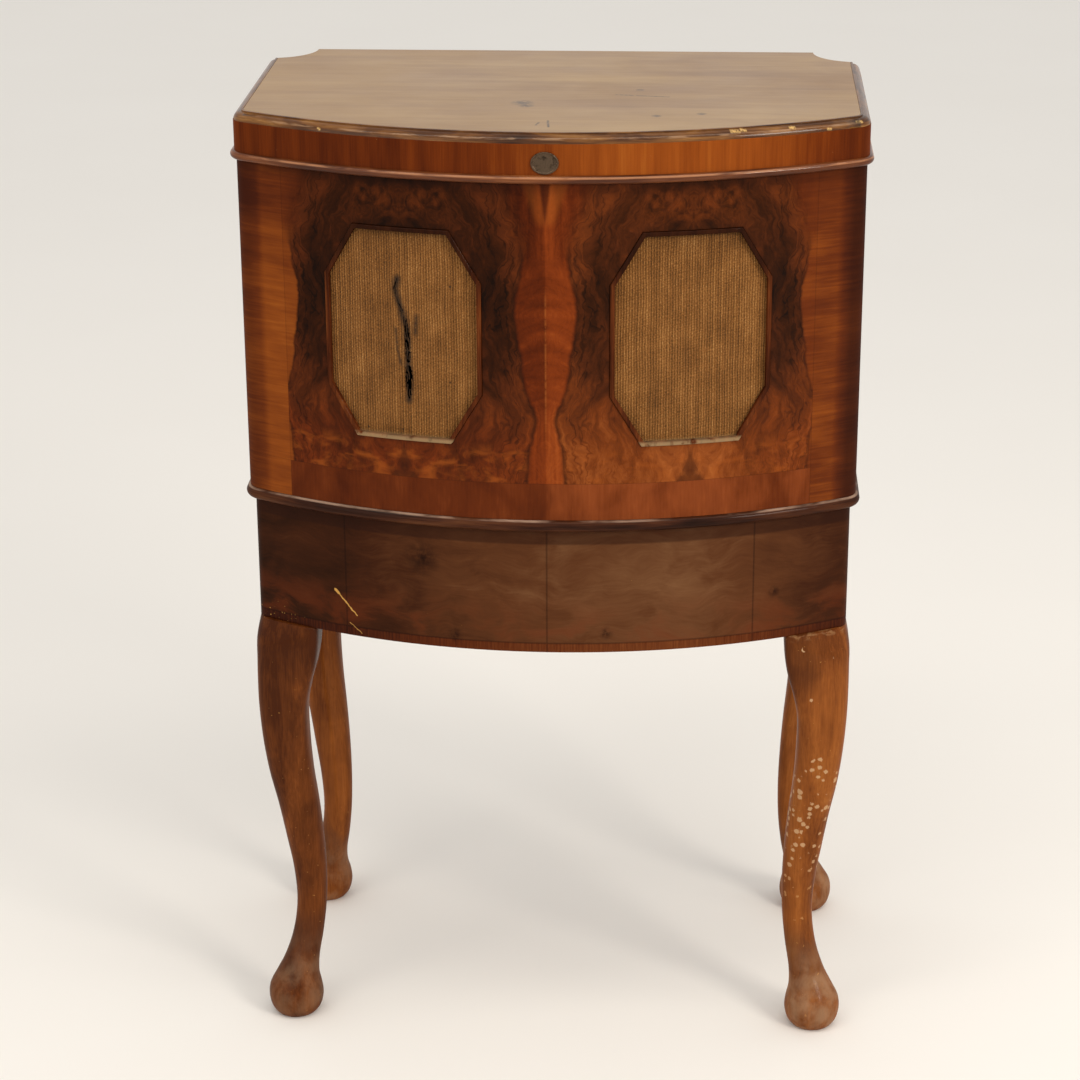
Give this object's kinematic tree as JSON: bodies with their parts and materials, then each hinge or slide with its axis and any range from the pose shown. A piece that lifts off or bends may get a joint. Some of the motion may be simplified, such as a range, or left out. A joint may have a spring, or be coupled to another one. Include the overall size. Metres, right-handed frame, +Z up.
{
  "type": "gramophone cabinet",
  "caption": "Bow-fronted walnut gramophone cabinet on cabriole legs, with a lifting lid, octagonal cloth-covered horn mouths and a clockwork turntable inside.",
  "frame": {"origin": "centre of the bounding box's underside, on the floor between the feet", "axes": "+Z up; -Y towards the viewer, out of the bowed front; +X to the viewer's right"},
  "size_m": [0.608, 0.3837, 0.964],
  "materials": {
    "veneer": "gloss",
    "dark_wood": "satin",
    "leg_wood": "satin",
    "plain_wood": "matte",
    "inner_wood": "matte",
    "grille_cloth": "matte",
    "felt": "matte",
    "nickel": "polished",
    "steel": "satin",
    "brass": "satin",
    "bronze": "satin",
    "iron": "matte",
    "horn_paint": "matte"
  },
  "bodies": {
    "case": {"front_panel": "veneer", "side_left": "veneer", "side_right": "veneer", "back_posts": "veneer", "back_rail": "inner_wood", "back_panel": "plain_wood", "case_screws": "brass", "bottom_board": "dark_wood", "waist_bead": "dark_wood", "motor_board": "plain_wood", "deck_battens": "inner_wood", "apron_front": "dark_wood", "apron_sides": "dark_wood", "apron_back": "plain_wood", "corner_blocks": "inner_wood", "leg_front_left": "leg_wood", "leg_front_right": "leg_wood", "leg_back_left": "leg_wood", "leg_back_right": "leg_wood", "grille_frame_left": "dark_wood", "grille_frame_right": "dark_wood", "grille_cloth_left": "grille_cloth", "grille_cloth_right": "grille_cloth", "horn_left": "horn_paint", "horn_right": "horn_paint", "horn_throat": "horn_paint", "case_hinge_leaves": "brass", "hinge_pins": "steel", "stay_guide": "nickel", "motor_plates": "iron", "motor_pillars": "steel", "motor_bolts": "brass", "crank_escutcheon": "nickel", "tone_arm_base": "nickel", "arm_rest": "nickel", "speed_dial": "brass", "pivot_screws": "brass"},
    "lid": {"lid_top_panel": "veneer", "lid_edge_moulding": "dark_wood", "lid_rim_front": "veneer", "lid_rim_sides": "veneer", "lid_rim_back": "veneer", "lid_corner_blocks": "veneer", "lid_bead": "dark_wood", "lid_plaque": "bronze", "plaque_pins": "brass", "lid_hinge_leaves": "brass", "lid_hinge_screws": "brass", "lid_stay": "nickel"},
    "platter": {"spindle": "steel", "turntable": "nickel", "turntable_felt": "felt"},
    "barrel": {"spring_barrel": "brass"},
    "governor": {"governor": "nickel"},
    "winding_arbor": {"winding_gear": "brass"},
    "winder": {"winding_shaft": "steel"},
    "arm": {"tone_arm": "nickel"},
    "soundbox": {"soundbox": "nickel"},
    "brake": {"brake_lever": "nickel"},
    "speed_control": {"speed_lever": "nickel"}
  },
  "joints": [
    {"name": "lid_hinge", "type": "hinge", "parent": "case", "child": "lid", "pos_m": [0, 0.18865, 0.91785], "axis": [-1, 0, 0], "range_deg": [0, 70]},
    {"name": "turntable_spin", "type": "hinge", "parent": "case", "child": "platter", "pos_m": [-0.062, 0.00615, 0.87], "axis": [0, 0, 1], "continuous": true},
    {"name": "barrel_spin", "type": "hinge", "parent": "case", "child": "barrel", "pos_m": [0.0081, 0.00615, 0.787], "axis": [0, 0, 1], "continuous": true},
    {"name": "governor_spin", "type": "hinge", "parent": "case", "child": "governor", "pos_m": [-0.082, 0.00615, 0.799], "axis": [0, 1, 0], "continuous": true},
    {"name": "winding_arbor_spin", "type": "hinge", "parent": "case", "child": "winding_arbor", "pos_m": [0.0081, 0.00615, 0.828], "axis": [0, 0, 1], "continuous": true},
    {"name": "winding_spin", "type": "hinge", "parent": "case", "child": "winder", "pos_m": [0.286, 0.00615, 0.8167], "axis": [1, 0, 0], "continuous": true},
    {"name": "tone_arm_swing", "type": "hinge", "parent": "case", "child": "arm", "pos_m": [0.126, 0.08815, 0.88], "axis": [0, 0, -1], "range_deg": [0, 70]},
    {"name": "soundbox_lift", "type": "hinge", "parent": "arm", "child": "soundbox", "pos_m": [0.126, 0.08815, 0.9143], "axis": [0.204, -0.979, 0], "range_deg": [0, 90]},
    {"name": "brake_swing", "type": "hinge", "parent": "case", "child": "brake", "pos_m": [0.066, -0.08785, 0.86], "axis": [0, 0, 1], "range_deg": [0, 9]},
    {"name": "speed_swing", "type": "hinge", "parent": "case", "child": "speed_control", "pos_m": [0.006, -0.14985, 0.862], "axis": [0, 0, 1], "range_deg": [-35, 35]}
  ],
  "couplings": [
    {"joint": "barrel_spin", "follows": "turntable_spin", "ratio": -0.23256},
    {"joint": "governor_spin", "follows": "turntable_spin", "ratio": 10},
    {"joint": "winding_spin", "follows": "winding_arbor_spin", "ratio": -4}
  ]
}
